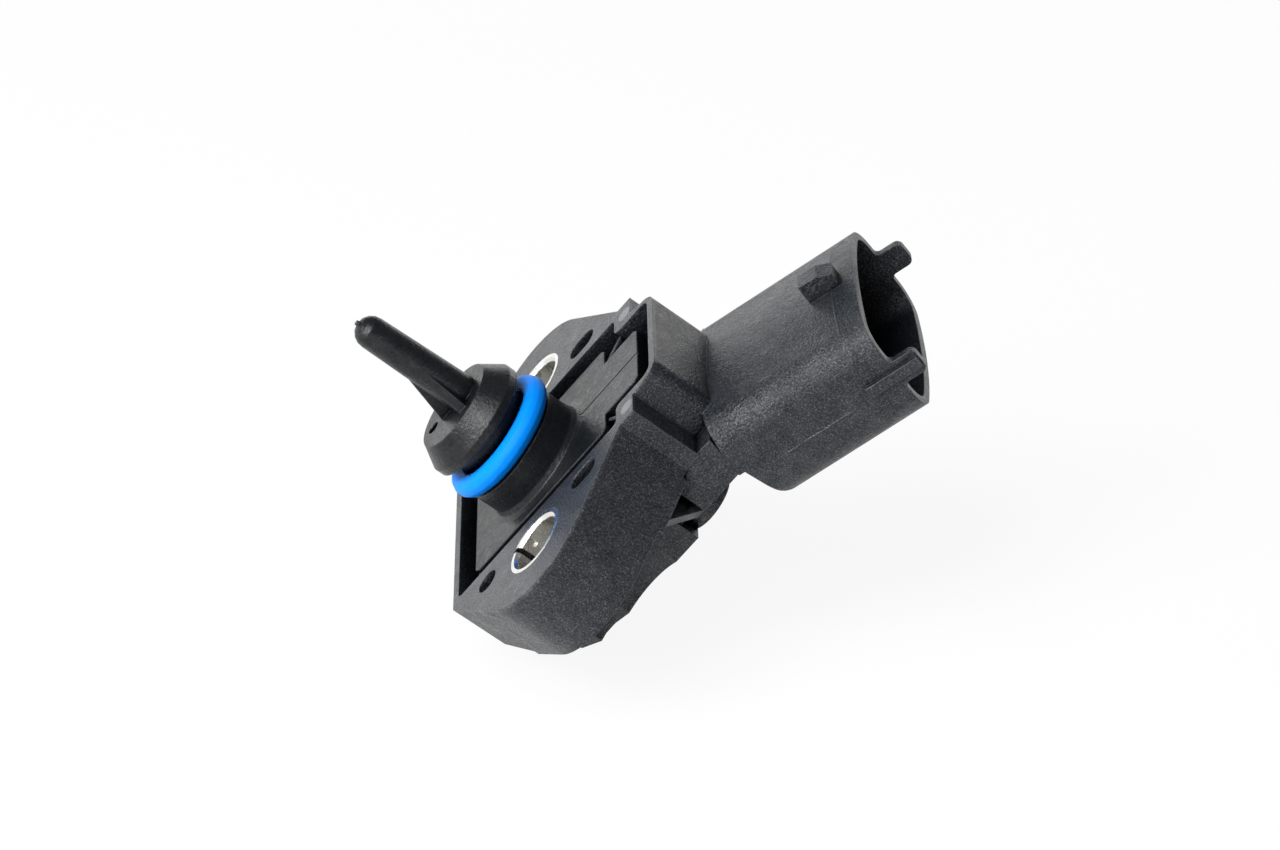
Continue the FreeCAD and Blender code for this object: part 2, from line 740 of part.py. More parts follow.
shoulder_pads = new_sketch(moulding, "shoulder_pads", "XY_Plane", "neck_base")
pad_corners = [
    ("pad_inner_x", "gusset_back_y"),
    ("pad_foot_x", "gusset_back_y"),
    ("pad_edge_x", "pad_edge_y"),
    ("pad_inner_x", "pad_edge_y"),
]
draw_outline(shoulder_pads, pad_corners)
draw_outline(shoulder_pads, [(opposite(x), y) for x, y in pad_corners[::-1]])
pad(moulding, shoulder_pads, "pad_height")

gussets = new_sketch(moulding, "gussets", "XZ_Plane", "-gusset_y")
gusset_corners = [
    ("gusset_root", "neck_base"),
    ("gusset_foot", "neck_base"),
    ("gusset_foot", "pad_top"),
    ("gusset_head", "gusset_head_z"),
    ("gusset_root", "gusset_head_z"),
]
draw_outline(gussets, gusset_corners)
draw_outline(gussets, [(opposite(x), z) for x, z in gusset_corners[::-1]])
pad(moulding, gussets, "gusset_thickness", symmetric=True)

shroud_section = section(
    "shroud_half", "shroud_height", "side_end",
    "shroud_crown_x", "shroud_crown_y", "shroud_corner", "crown_radius",
)
shroud = rim_sketch(moulding, "shroud")
draw_outline(shroud, shroud_section)
pad(moulding, shroud, "shroud_body")

shroud_edge = rim_sketch(moulding, "shroud_edge", "back_edge_y", "back_edge_z")
draw_outline(shroud_edge, shroud_section)
edge_pad = pad(moulding, shroud_edge, "back_edge")
edge_pad.TaperAngle = -45

shroud_back = profile_sketch(moulding, "shroud_back")
draw_outline(shroud_back, [
    ("-back_lean_start", "back_foot"),
    ("-back_round_start", "back_round_rise", "-back_round"),
    ("-back_round_end", "shroud_height"),
    ("-back_round_end", "back_clear_rise"),
    ("-back_clear", "back_clear_rise"),
    ("-back_clear", "back_foot"),
])
cut(moulding, shroud_back, "tab_width", symmetric=True)

tabs = profile_sketch(moulding, "tabs")
draw_outline(tabs, [
    ("-tab_start", "-tab_side"),
    ("0", "-tab_side", "-tab_root"),
    ("tab_root", "-tab_half"),
    ("tab_front", "-tab_half", "tab_corner"),
    ("tab_reach", "-tab_tip"),
    ("tab_reach", "tab_tip", "tab_corner"),
    ("tab_front", "tab_half"),
    ("tab_root", "tab_half", "-tab_root"),
    ("0", "tab_side"),
    ("-tab_start", "tab_side"),
])
pad(moulding, tabs, "tab_width", symmetric=True)

rails = profile_sketch(moulding, "rails")
draw_outline(rails, rectangle("-rail_start", "rail_end", "-rail_half", "rail_half"))
pad(moulding, rails, "rail_width", symmetric=True)

latch = profile_sketch(moulding, "latch")
draw_outline(latch, [
    ("-latch_back", "-latch_root"),
    ("-latch_back", "-latch_top"),
    ("-latch_flat_end", "-latch_top"),
    ("-latch_front", "-latch_nose"),
    ("-latch_front", "-latch_root"),
])
pad(moulding, latch, "latch_width", symmetric=True)

socket = rim_sketch(moulding, "socket")
draw_outline(socket, section(
    "socket_half", "socket_height", "side_end",
    "socket_crown_x", "socket_crown_y", "socket_corner", "socket_crown",
))
socket_cut = cut(moulding, socket, "socket_depth")
socket_cut.SideType = "Two sides"
socket_cut.setExpression("Length2", bound("socket_ahead"))

cavity = new_sketch(moulding, "cavity", "XY_Plane", "chamber_top")
draw_outline(cavity, mirrored(tray("cavity")))
cut(moulding, cavity, "cavity_depth", along_normal=False)

recess = new_sketch(moulding, "recess", "XY_Plane", "chamber_top")
draw_outline(recess, mirrored(tray("recess")))
cut(moulding, recess, "recess_depth", along_normal=False)

posts = new_sketch(moulding, "posts", "XY_Plane", "floor_z")
draw_outline(posts, rectangle("post_inner_x", "post_outer_x", "post_front_y", "post_front_wall_y"))
draw_outline(posts, rectangle("-post_outer_x", "-post_inner_x", "post_front_y", "post_front_wall_y"))
draw_outline(posts, rectangle("post_inner_x", "post_outer_x", "-post_tail_wall_y", "-post_tail_y"))
draw_outline(posts, rectangle("-post_outer_x", "-post_inner_x", "-post_tail_wall_y", "-post_tail_y"))
pad(moulding, posts, "post_height")

bores = new_sketch(moulding, "bores", "XY_Plane")
draw_circle(bores, "bolt_x", "0", "bushing_outer")
draw_circle(bores, "-bolt_x", "0", "bushing_outer")
cut(moulding, bores, "flange_height")

floor_hole = new_sketch(moulding, "floor_hole", "XY_Plane")
draw_outline(floor_hole, rectangle(
    "-floor_hole_half", "floor_hole_half", "-floor_hole_tail", "floor_hole_front",
))
cut(moulding, floor_hole, "chamber_base")

blind_holes = new_sketch(moulding, "blind_holes", "XY_Plane")
draw_circle(blind_holes, "tail_hole_x", "-tail_hole_y", "tail_hole_radius")
draw_circle(blind_holes, "-tail_hole_x", "-tail_hole_y", "tail_hole_radius")
slot_corners = [
    ("slot_right", "slot_low"),
    ("slot_right", "slot_high", "slot_radius"),
    ("slot_x", "slot_top", "slot_radius"),
    ("slot_left", "slot_high"),
    ("slot_left", "slot_low", "slot_radius"),
    ("slot_x", "slot_bottom", "slot_radius"),
]
draw_outline(blind_holes, slot_corners)
draw_outline(blind_holes, [
    ("-slot_left", "slot_low"),
    ("-slot_left", "slot_high", "slot_radius"),
    ("-slot_x", "slot_top", "slot_radius"),
    ("-slot_right", "slot_high"),
    ("-slot_right", "slot_low", "slot_radius"),
    ("-slot_x", "slot_bottom", "slot_radius"),
])
cut(moulding, blind_holes, "blind_depth")

terminal_slots = doc.addObject("Part::MultiFuse", "terminal_slots")
terminal_slots.Shapes = terminals
housing = doc.addObject("Part::Cut", "housing")
housing.Base = moulding
housing.Tool = terminal_slots

# Port insert: plate, collar, ring groove, nose and hollow probe finger in one moulding
insert = new_body("port_insert")

plate = new_sketch(insert, "plate", "XY_Plane", "plate_face")
draw_outline(plate, mirrored([
    ("plate_inner_x", "-plate_tail"),
    ("plate_half", "-plate_tail_corner"),
    ("plate_half", "plate_step_corner"),
    ("plate_inner_x", "plate_step"),
    ("plate_end_half", "plate_step"),
    ("plate_end_half", "plate_end_corner"),
    ("plate_end_inner", "plate_end"),
]))
pad(insert, plate, "plate_thickness")

plate_boss = new_sketch(insert, "plate_boss", "XY_Plane", "plate_back")
draw_outline(plate_boss, rectangle("-boss_half", "boss_half", "-boss_tail", "boss_front"))
pad(insert, plate_boss, "plate_boss_height")

port = new_sketch(insert, "port", "XZ_Plane")
draw_outline(port, [
    ("0", "-nose_end"),
    ("nose_flat", "-nose_end"),
    ("nose_radius", "-nose_shoulder_z"),
    ("nose_radius", "-groove_end"),
    ("groove_radius", "-groove_end"),
    ("groove_radius", "-collar_end"),
    ("collar_break_x", "-collar_end"),
    ("collar_radius", "-collar_break_z"),
    ("collar_radius", "-collar_fillet_z"),
    ("fillet_middle_x", "-fillet_middle_z"),
    ("collar_root", "plate_face"),
    ("collar_root", "plate_back"),
    ("0", "plate_back"),
])
revolve(insert, port)

finger = new_sketch(insert, "finger", "XZ_Plane", "-finger_y")
draw_outline(finger, [
    ("0", "-nib_end"),
    ("nib_radius", "-nib_end"),
    ("nib_radius", "-nib_z"),
    ("ball_far_x", "-ball_far_z"),
    ("ball_middle_x", "-ball_middle_z"),
    ("ball_near_x", "-ball_near_z"),
    ("finger_tip", "-finger_ball_z"),
    ("finger_root", "-finger_start"),
    ("0", "-finger_start"),
])
revolve(insert, finger)

side_fins = new_sketch(insert, "side_fins", "XZ_Plane", "-finger_y")
draw_outline(side_fins, mirrored([
    ("side_fin_tip", "-side_fin_end"),
    ("side_fin_root", "-nose_end"),
    ("side_fin_root", "-finger_start"),
]))
pad(insert, side_fins, "side_fin_thickness", symmetric=True)

back_fin = new_sketch(insert, "back_fin", "YZ_Plane")
draw_outline(back_fin, [
    ("-back_fin_tip", "-back_fin_end"),
    ("finger_y", "-back_fin_end"),
    ("finger_y", "-finger_start"),
    ("-back_fin_root", "-finger_start"),
    ("-back_fin_root", "-nose_end"),
])
pad(insert, back_fin, "back_fin_thickness", symmetric=True)

pressure_hole = new_sketch(insert, "pressure_hole", "XY_Plane", "-nose_end")
draw_circle(pressure_hole, "0", "-pressure_hole_y", "pressure_hole")
cut(insert, pressure_hole, "insert_length")

finger_bore = new_sketch(insert, "finger_bore", "XY_Plane", "-finger_bore_end")
draw_circle(finger_bore, "0", "finger_y", "finger_bore")
cut(insert, finger_bore, "finger_bore_length")

seam = new_sketch(insert, "seam", "YZ_Plane")
draw_outline(seam, rectangle("seam_start", "plate_end", "0", "seam_bottom"))
cut(insert, seam, "seam_width", symmetric=True)

# Compression limiters: rolled steel with a slit and a small dent inside
bushings = []
for bushing_name, bushing_x in (("bushing_left", "-bolt_x"), ("bushing_right", "bolt_x")):
    bushing = new_body(bushing_name)
    wall = new_sketch(bushing, bushing_name + "_wall", "XZ_Plane")
    draw_outline(wall, [
        ("bushing_inner_edge", "0"),
        ("bushing_outer", "0"),
        ("bushing_outer", "flange_height"),
        ("bushing_bore", "flange_height"),
        ("bushing_bore", "bushing_chamfer"),
    ])
    revolve(bushing, wall)
    slit = new_sketch(bushing, bushing_name + "_slit", "XY_Plane")
    draw_outline(slit, rectangle("0", "bolt_x", "-slit_half", "slit_half"))
    cut(bushing, slit, "flange_height")
    dimple = new_sketch(bushing, bushing_name + "_dimple", "XY_Plane", "dimple_start")
    turn_sketch(dimple, FreeCAD.Vector(0, 0, 1), "dimple_turn")
    draw_outline(dimple, rectangle("0", "dimple_reach", "-dimple_half", "dimple_half"))
    cut(bushing, dimple, "dimple_length")
    bushing.Placement.Rotation = FreeCAD.Rotation(FreeCAD.Vector(0, 0, 1), number("bushing_turn"))
    bushing.setExpression("Placement.Rotation.Angle", bound("bushing_turn"))
    bushing.setExpression("Placement.Base.x", bound(bushing_x))
    bushings.append(bushing)


def rod(label, radius, height, x, y, base):
    """Upright cylinder on the named spot."""
    cylinder = doc.addObject("Part::Cylinder", label)
    cylinder.setExpression("Radius", bound(radius))
    cylinder.setExpression("Height", bound(height))
    cylinder.setExpression("Placement.Base.x", "0" if x == "0" else bound(x))
    cylinder.setExpression("Placement.Base.y", "0" if y == "0" else bound(y))
    cylinder.setExpression("Placement.Base.z", bound(base))
    return cylinder


def block(label, length, width, height, x, y, base):
    """Box with its middle over the named spot."""
    box = doc.addObject("Part::Box", label)
    middle_x = "0" if x == "0" else bound(x)
    middle_y = "0" if y == "0" else bound(y)
    box.setExpression("Length", bound(length))
    box.setExpression("Width", bound(width))
    box.setExpression("Height", bound(height))
    box.setExpression("Placement.Base.x", middle_x + " - Sizes.%s / 2" % length)
    box.setExpression("Placement.Base.y", middle_y + " - Sizes.%s / 2" % width)
    box.setExpression("Placement.Base.z", bound(base))
    return box


def difference(label, base, tool):
    """The first shape without the second."""
    result = doc.addObject("Part::Cut", label)
    result.Base = base
    result.Tool = tool
    return result


# Sealing ring
o_ring = new_body("o_ring")
ring_cord = new_sketch(o_ring, "ring_cord", "XZ_Plane")
draw_outline(ring_cord, ring_corners)
revolve(o_ring, ring_cord)

# Bead of glue between the insert's plate and the pocket
insert_seal = new_body("insert_seal")
insert_bead = new_sketch(insert_seal, "insert_bead", "XY_Plane", "plate_back")
draw_outline(insert_bead, mirrored([
    ("bead_half", "-bead_tail"),
    ("bead_half", "bead_step"),
    ("bead_end_half", "bead_step"),
    ("bead_end_half", "bead_end"),
]))
draw_outline(insert_bead, rectangle(
    "-bead_hole_half", "bead_hole_half", "-bead_hole_tail", "bead_hole_front",
))
pad(insert_seal, insert_bead, "bead_thickness")

# Temperature element in the tip of the finger
thermistor_bead = rod(
    "thermistor_bead", "thermistor_radius", "thermistor_length", "0", "finger_y", "-finger_bore_end",
)
leads = []
for lead_name, lead_x in (("thermistor_lead_left", "-lead_x"), ("thermistor_lead_right", "lead_x")):
    leads.append(rod(lead_name, "lead_radius", "lead_length", lead_x, "finger_y", "-thermistor_z"))

# Pressure cell over the channel
cell = ("0", "-pressure_hole_y")
cell_plate = block("cell_plate", "cell_side", "cell_side", "cell_thickness", *cell, "plate_boss_top")
channel = rod("channel", "cell_channel_radius", "cell_thickness", *cell, "plate_boss_top")
cell_base = difference("cell_base", cell_plate, channel)
ring_outside = rod("ring_outside", "cell_ring_outer", "cell_ring_height", *cell, "cell_top")
ring_inside = rod("ring_inside", "cell_ring_inner", "cell_ring_height", *cell, "cell_top")
cell_ring = difference("cell_ring", ring_outside, ring_inside)
pedestal = block("pedestal", "die_side", "die_side", "pedestal_height", *cell, "cell_top")
pedestal_hole = rod("pedestal_hole", "pedestal_channel", "pedestal_height", *cell, "cell_top")
glass_pedestal = difference("glass_pedestal", pedestal, pedestal_hole)
silicon_chip = block("silicon_chip", "die_side", "die_side", "die_height", *cell, "die_z")
gel = rod("gel", "cell_ring_inner", "gel_height", *cell, "cell_top")
stack = doc.addObject("Part::MultiFuse", "stack")
stack.Shapes = [pedestal, silicon_chip]
gel_fill = difference("gel_fill", gel, stack)

# Circuit board with its chip and capacitors
circuit_board = new_body("circuit_board")
board = new_sketch(circuit_board, "board", "XY_Plane", "board_bottom")
draw_outline(board, rectangle("-board_half", "board_half", "-board_tail", "board_front"))
draw_circle(board, "-lead_x", "finger_y", "lead_hole")
draw_circle(board, "lead_x", "finger_y", "lead_hole")
pad(circuit_board, board, "board_thickness")
signal_chip = block(
    "signal_chip", "signal_chip_side", "signal_chip_side", "signal_chip_height",
    "0", "-signal_chip_y", "board_top",
)
capacitors = []
for capacitor_name, capacitor_x, capacitor_y in (
    ("capacitor_1", "-capacitor_x", "-capacitor_y"),
    ("capacitor_2", "0", "-capacitor_middle_y"),
    ("capacitor_3", "capacitor_x", "-capacitor_y"),
):
    capacitors.append(block(
        capacitor_name, "capacitor_length", "capacitor_width", "capacitor_height",
        capacitor_x, capacitor_y, "board_top",
    ))

# Cover and its bead of glue
cover_seal = new_body("cover_seal")
cover_bead = new_sketch(cover_seal, "cover_bead", "XY_Plane", "recess_z")
draw_outline(cover_bead, mirrored(tray("cover")))
draw_outline(cover_bead, mirrored(tray("bead_inner")))
pad(cover_seal, cover_bead, "seal_thickness")
rear_cover = new_body("rear_cover")
cover_plate = new_sketch(rear_cover, "cover_plate", "XY_Plane", "cover_z")
draw_outline(cover_plate, mirrored(tray("cover")))
pad(rear_cover, cover_plate, "cover_thickness")

doc.recompute()
for item in doc.Objects:
    if "Invalid" in item.State or "Error" in item.State:
        raise RuntimeError("%s did not build: %s" % (item.Label, item.getStatusString()))

nodes = [housing, insert, o_ring, insert_seal, thermistor_bead, cell_base, cell_ring, glass_pedestal]
nodes += [silicon_chip, gel_fill, circuit_board, signal_chip, cover_seal, rear_cover]
nodes += bushings + leads + capacitors + terminals
for node in nodes:
    if node.Shape.isNull() or not node.Shape.isValid():
        raise RuntimeError("%s has no sound shape" % node.Label)
    node.Shape.exportStep("parts/" + node.Label + ".step")
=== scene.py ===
import math

import bpy
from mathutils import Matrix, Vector


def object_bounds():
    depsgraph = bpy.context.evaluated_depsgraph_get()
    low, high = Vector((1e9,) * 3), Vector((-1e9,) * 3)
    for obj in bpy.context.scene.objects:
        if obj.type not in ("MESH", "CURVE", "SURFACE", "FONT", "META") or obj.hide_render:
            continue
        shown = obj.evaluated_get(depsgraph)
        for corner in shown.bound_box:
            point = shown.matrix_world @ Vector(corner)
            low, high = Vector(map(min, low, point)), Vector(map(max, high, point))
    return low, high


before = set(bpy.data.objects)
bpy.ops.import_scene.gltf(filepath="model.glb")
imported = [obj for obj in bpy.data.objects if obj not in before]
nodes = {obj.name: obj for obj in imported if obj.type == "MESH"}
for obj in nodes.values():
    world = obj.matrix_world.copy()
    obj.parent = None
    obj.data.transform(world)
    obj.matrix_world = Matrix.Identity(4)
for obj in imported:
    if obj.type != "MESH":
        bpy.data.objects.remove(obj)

cad_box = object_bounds()
MM = 0.001

# Camera of the photograph, in the part's frame
CAMERA_PLACE_MM = (-485.04, 223.32, -170.19)
CAMERA_TURN_DEG = (-120.7135, -51.7111, 91.3354)
FOCAL_PIXELS = 5000.0
PHOTO_WIDTH = 1280.0
SENSOR_MM = 36.0
CLIP_M = (0.01, 20.0)

# Table that the part lies on: it leans away from the camera's own upright by this angle
TABLE_PITCH_DEG = 30.0
TABLE_SIDE_MM = 900.0
TABLE_GLOW = 0.91
TABLE_ROUGHNESS = 0.7
WHITE = (1.0, 1.0, 1.0)

# Surroundings as the gloss shows them: bright at the horizon, darker above and on the lens side
HORIZON = 2.2
CEILING = 0.2
HORIZON_TO_CEILING = (0.08, 0.3)
FRONT_SHADE = 0.7
BACK_TO_FRONT = (-0.1, 0.6)
WORLD_FILL = 0.52

# Soft square lamps: studio point in metres, watts, side in metres
LAMPS = {
    "high": ((-0.38, 0.78, 0.42), 8.0, 0.6),
    "left": ((-0.56, 0.42, 0.44), 4.5, 0.4),
}

# Plastic: painted shade in the hollows and creases: their reach, how open they are where it is
# painted, the light it leaves in creases, and its colour
HOLLOW_MM = 14.0
HOLLOW_RANGE = (0.11, 0.46)
CREASE_MM = 1.0
CREASE_RANGE = (0.45, 0.85)
CREASE_LEFT = 0.15
PAINTED_SHADE_COLOUR = (0.0005, 0.0005, 0.0006)

# Plastic: strength of its gloss on faces, on arrises and in hollows, and how patchy it is
SPECULAR = 0.4
ARRIS_SPECULAR = 0.9
HOLLOW_SPECULAR = 0.06
GLOSS_PATCHES = (0.65, 1.4)

# Plastic: how much paler than its light colour the fibres and the arrises are; the arrises'
# paleness is partly wear, partly a painted highlight
FIBRE_PALE = 3.0
ARRIS_PALE = 5.0

# Arris mask: likeness of the rounded normal to the plain one, from full to none
ARRIS_LIKENESS = (0.75, 0.98)

# Connector shroud: its tilt, and the turned part frame moved so that the mouth is at zero
SHROUD_TILT_DEG = 15.53
SHROUD_SHIFT_MM = (0.0, -42.40, -8.79)

# Shroud in that turned frame: bands in which its face ends at the corner, the latch and the neck
FACE_EDGE_MM = (-6.9, -6.5)
LATCH_FOOT_MM = (-7.5, -7.35)
NECK_END_MM = (-26.0, -25.0)

# Shroud's walls: bands of the square of a distance from the socket's middle, in square millimetres
INNER_SIDE_SQUARE = (146.0, 152.0)
INNER_FACE_SQUARE = (40.0, 43.0)
OUTER_SIDE_SQUARE = (155.0, 158.0)

# Shroud's socket: band in which its floor starts, how closed it is there, and the light left in it
# by its painted shade
SOCKET_FLOOR_MM = (-20.0, -18.0)
SOCKET_OPENNESS = (0.6, 0.8)
SOCKET_LEFT = 0.3

# Slight crown of the shroud's face: how much its normal leans for each millimetre off the middle
CROWN = 0.02

# Gloss of the shroud's face past the parting line, and of the port-side face, against the rest
END_GLOSS = 0.5
END_SOFT_MM = 0.1
PORT_FACE_GLOSS = 2.4
PORT_FACE_BAND_MM = 0.5

# Parting lines: place, width and where they fade; both wander a little
PARTING_RING_MM = -3.0
RING_WIDTH_MM = 0.16
RING_EDGE_MM = (-6.6, -6.3)
PARTING_SIDE_MM = 1.0
SIDE_WIDTH_MM = 0.14
SIDE_MIDDLE_MM = -11.0
SIDE_REACH_MM = 7.5
WANDER_MM = 0.3
LINE_PALENESS = 0.22
LINE_RELIEF = 0.5

# Ejector marks on the port-side face
EJECTOR_MM = (10.6, 16.3)
EJECTOR_RADIUS_MM = 1.05
EJECTOR_SOFT_MM = 0.15
EJECTOR_DEPTH_MM = (0.1, 0.2)
EJECTOR_COLOUR = (0.2, 0.21, 0.22)
EJECTOR_PALENESS = 0.7


def build_camera():
    """Camera at the photograph's place and angle."""
    data = bpy.data.cameras.new("photo_camera")
    data.sensor_width = SENSOR_MM
    data.lens = FOCAL_PIXELS / PHOTO_WIDTH * SENSOR_MM
    data.clip_start, data.clip_end = CLIP_M
    camera = bpy.data.objects.new("photo_camera", data)
    camera.location = Vector(CAMERA_PLACE_MM) * MM
    camera.rotation_euler = [math.radians(angle) for angle in CAMERA_TURN_DEG]
    bpy.context.scene.collection.objects.link(camera)
    bpy.context.scene.camera = camera
    bpy.context.view_layer.update()
    return camera


camera = build_camera()
RIGHT = camera.matrix_world.col[0].to_3d()
LENS_UP = camera.matrix_world.col[1].to_3d()
BACK = camera.matrix_world.col[2].to_3d()
pitch = math.radians(TABLE_PITCH_DEG)
UP = LENS_UP * math.cos(pitch) + BACK * math.sin(pitch)
FRONT = BACK * math.cos(pitch) - LENS_UP * math.sin(pitch)


def studio(right, up, front):
    """Point of the studio in metres: right, up from the table, towards the camera."""
    return RIGHT * right + UP * up + FRONT * front


def new_material(name):
    """Material with an empty tree but for its Principled shader and output."""
    material = bpy.data.materials.new(name)
    material.use_nodes = True
    tree = material.node_tree
    tree.nodes.clear()
    output = tree.nodes.new("ShaderNodeOutputMaterial")
    shader = tree.nodes.new("ShaderNodeBsdfPrincipled")
    tree.links.new(shader.outputs["BSDF"], output.inputs["Surface"])
    return material, tree, shader


def feed(tree, value, socket):
    """Link a socket's value to another socket, or set a plain number there."""
    if isinstance(value, (int, float)):
        socket.default_value = value
    else:
        tree.links.new(value, socket)


def calculate(tree, operation, first, second=0.0):
    """Result of a sum on two values, each a socket or a number."""
    step = tree.nodes.new("ShaderNodeMath")
    step.operation = operation
    feed(tree, first, step.inputs[0])
    feed(tree, second, step.inputs[1])
    return step.outputs["Value"]


def product(tree, first, *factors):
    """Product of values, each a socket or a number."""
    for factor in factors:
        first = calculate(tree, "MULTIPLY", first, factor)
    return first


def mix_values(tree, factor, low, high):
    """Value between two values by a factor."""
    mix = tree.nodes.new("ShaderNodeMix")
    mix.data_type = "FLOAT"
    tree.links.new(factor, mix.inputs[0])
    feed(tree, low, mix.inputs[2])
    feed(tree, high, mix.inputs[3])
    return mix.outputs[0]


def spread(tree, value, low, high, start=0.3, end=0.7):
    """Map a value's run from start to end, by default the middle of a noise, to low to high."""
    ranged = tree.nodes.new("ShaderNodeMapRange")
    ranged.inputs["From Min"].default_value = start
    ranged.inputs["From Max"].default_value = end
    ranged.inputs["To Min"].default_value = low
    ranged.inputs["To Max"].default_value = high
    tree.links.new(value, ranged.inputs["Value"])
    return ranged.outputs["Result"]


def above(tree, value, band):
    """One where a value is above a band, nothing below it."""
    return spread(tree, value, 0.0, 1.0, *band)


def below(tree, value, band):
    """One where a value is below a band, nothing above it."""
    return spread(tree, value, 1.0, 0.0, *band)


def near(tree, value, place, reach):
    """One where a value is at a place, falling to nothing at the reach on both sides."""
    off = calculate(tree, "ABSOLUTE", calculate(tree, "SUBTRACT", value, place))
    return below(tree, off, (0.4 * reach, reach))


def blend_colours(tree, factor, first, second):
    """Colour between two colours by a factor."""
    mix = tree.nodes.new("ShaderNodeMix")
    mix.data_type = "RGBA"
    tree.links.new(factor, mix.inputs["Factor"])
    for colour, socket in ((first, mix.inputs[6]), (second, mix.inputs[7])):
        if isinstance(colour, tuple):
            socket.default_value = (*colour, 1.0)
        else:
            tree.links.new(colour, socket)
    return mix.outputs[2]


def scale_colour(colour, factor, lift=0.0):
    """Colour made paler or darker, at most white."""
    return tuple(min(1.0, channel * factor + lift) for channel in colour)


def place_texture(tree, stretch=(1.0, 1.0, 1.0)):
    """Coordinates of the part in millimetres, stretched for a grain with a direction."""
    coordinates = tree.nodes.new("ShaderNodeTexCoord")
    mapping = tree.nodes.new("ShaderNodeMapping")
    mapping.inputs["Scale"].default_value = [factor / MM for factor in stretch]
    tree.links.new(coordinates.outputs["Object"], mapping.inputs["Vector"])
    return mapping.outputs["Vector"]


def turn_to_shroud(tree, vector):
    """Coordinates turned to the shroud, with the middle of its mouth at zero."""
    turned = tree.nodes.new("ShaderNodeMapping")
    turned.inputs["Location"].default_value = SHROUD_SHIFT_MM
    turned.inputs["Rotation"].default_value = (-math.radians(SHROUD_TILT_DEG), 0.0, 0.0)
    tree.links.new(vector, turned.inputs["Vector"])
    return turned.outputs["Vector"]


def split(tree, vector):
    """Three values of a vector."""
    parts = tree.nodes.new("ShaderNodeSeparateXYZ")
    tree.links.new(vector, parts.inputs["Vector"])
    return parts.outputs


def noise(tree, vector, scale, detail, roughness):
    """Noise over the part; scale is waves to the millimetre."""
    texture = tree.nodes.new("ShaderNodeTexNoise")
    texture.inputs["Scale"].default_value = scale
    texture.inputs["Detail"].default_value = detail
    texture.inputs["Roughness"].default_value = roughness
    tree.links.new(vector, texture.inputs["Vector"])
    return texture.outputs["Fac"]


def openness(tree, reach_mm):
    """One where nothing stands within the reach, less in hollows and creases."""
    depth = tree.nodes.new("ShaderNodeAmbientOcclusion")
    depth.samples = 8
    depth.inputs["Distance"].default_value = reach_mm * MM
    return depth.outputs["AO"]


def vector_step(tree, operation, *vectors):
    """Outputs of a node that works on vectors, each a socket."""
    step = tree.nodes.new("ShaderNodeVectorMath")
    step.operation = operation
    for vector, socket in zip(vectors, step.inputs):
        tree.links.new(vector, socket)
    return step.outputs


def soft_edges(tree, radius_mm):
    """Normal with rounded arrises, and a mask of where they are."""
    bevel = tree.nodes.new("ShaderNodeBevel")
    bevel.samples = 6
    bevel.inputs["Radius"].default_value = radius_mm * MM
    normal = bevel.outputs["Normal"]
    geometry = tree.nodes.new("ShaderNodeNewGeometry")
    likeness = vector_step(tree, "DOT_PRODUCT", normal, geometry.outputs["Normal"])["Value"]
    return normal, below(tree, likeness, ARRIS_LIKENESS)


def lean_across(tree, normal, lean):
    """Normal leaned from side to side by the given amount."""
    push = tree.nodes.new("ShaderNodeCombineXYZ")
    tree.links.new(lean, push.inputs["X"])
    total = vector_step(tree, "ADD", normal, push.outputs["Vector"])["Vector"]
    return vector_step(tree, "NORMALIZE", total)["Vector"]


def bump(tree, height, normal, distance_mm):
    """Relief of the given depth over a normal."""
    relief = tree.nodes.new("ShaderNodeBump")
    relief.inputs["Distance"].default_value = distance_mm * MM
    relief.inputs["Strength"].default_value = 1.0
    tree.links.new(height, relief.inputs["Height"])
    tree.links.new(normal, relief.inputs["Normal"])
    return relief.outputs["Normal"]


def parting_lines(tree, where, across, along, height):
    """Mask of the parting line round the shroud's face and of the one along each side."""
    wander = product(tree, noise(tree, where, 0.5, 3.0, 0.6), WANDER_MM)
    middle = WANDER_MM / 2
    around = calculate(tree, "ADD", along, wander)
    ring = product(tree, near(tree, around, PARTING_RING_MM + middle, RING_WIDTH_MM),
                   above(tree, height, LATCH_FOOT_MM), below(tree, height, RING_EDGE_MM))
    beside = calculate(tree, "ADD", height, wander)
    seam = product(tree, near(tree, beside, PARTING_SIDE_MM + middle, SIDE_WIDTH_MM),
                   above(tree, product(tree, across, across), OUTER_SIDE_SQUARE),
                   near(tree, along, SIDE_MIDDLE_MM, SIDE_REACH_MM))
    return calculate(tree, "MAXIMUM", ring, seam)


def ejector_marks(tree, side, out, up):
    """Mask of the two round marks on the port-side face."""
    aside = calculate(tree, "SUBTRACT", calculate(tree, "ABSOLUTE", side), EJECTOR_MM[0])
    ahead = calculate(tree, "SUBTRACT", out, EJECTOR_MM[1])
    square = calculate(tree, "ADD", product(tree, aside, aside), product(tree, ahead, ahead))
    edge = (EJECTOR_RADIUS_MM - EJECTOR_SOFT_MM, EJECTOR_RADIUS_MM)
    pin = below(tree, calculate(tree, "POWER", square, 0.5), edge)
    return product(tree, pin, below(tree, up, EJECTOR_DEPTH_MM))


